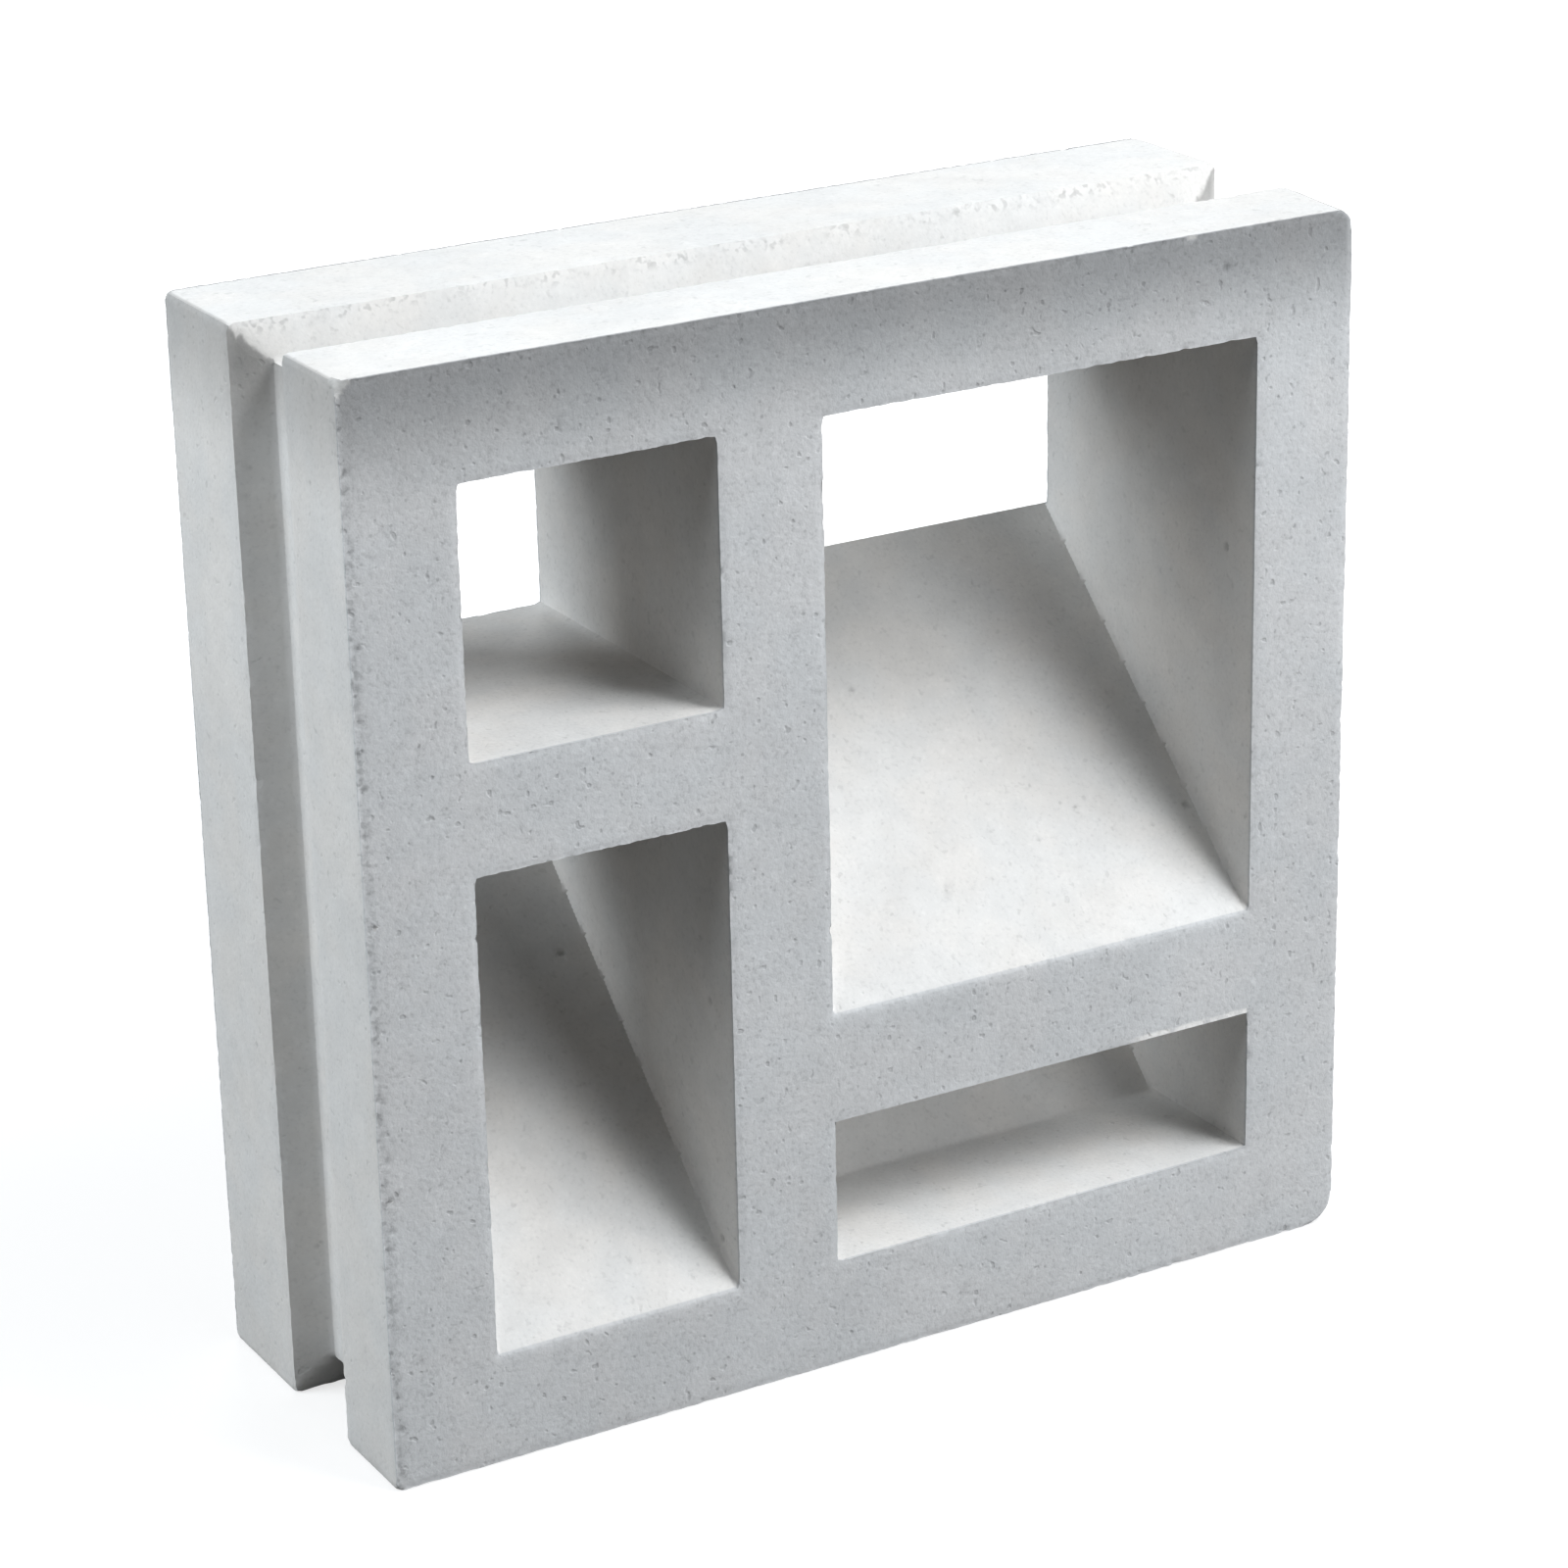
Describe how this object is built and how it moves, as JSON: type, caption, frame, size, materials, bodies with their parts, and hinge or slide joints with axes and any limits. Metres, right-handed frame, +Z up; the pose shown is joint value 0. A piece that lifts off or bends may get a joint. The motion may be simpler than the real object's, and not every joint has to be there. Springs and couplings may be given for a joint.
{
  "type": "breeze block",
  "caption": "Square concrete breeze block with a rim and bars around open vents, sloped sills that shed rain, and a mortar groove around its edge.",
  "frame": {"origin": "middle of the bed that the block stands on", "axes": "+X to the right across the face, +Y from the face to the back, +Z up"},
  "size_m": [0.29, 0.1, 0.29],
  "materials": {
    "concrete": "pale grey fine concrete, matt, as cast"
  },
  "bodies": {
    "root": {"breeze_block": "concrete"}
  },
  "joints": []
}
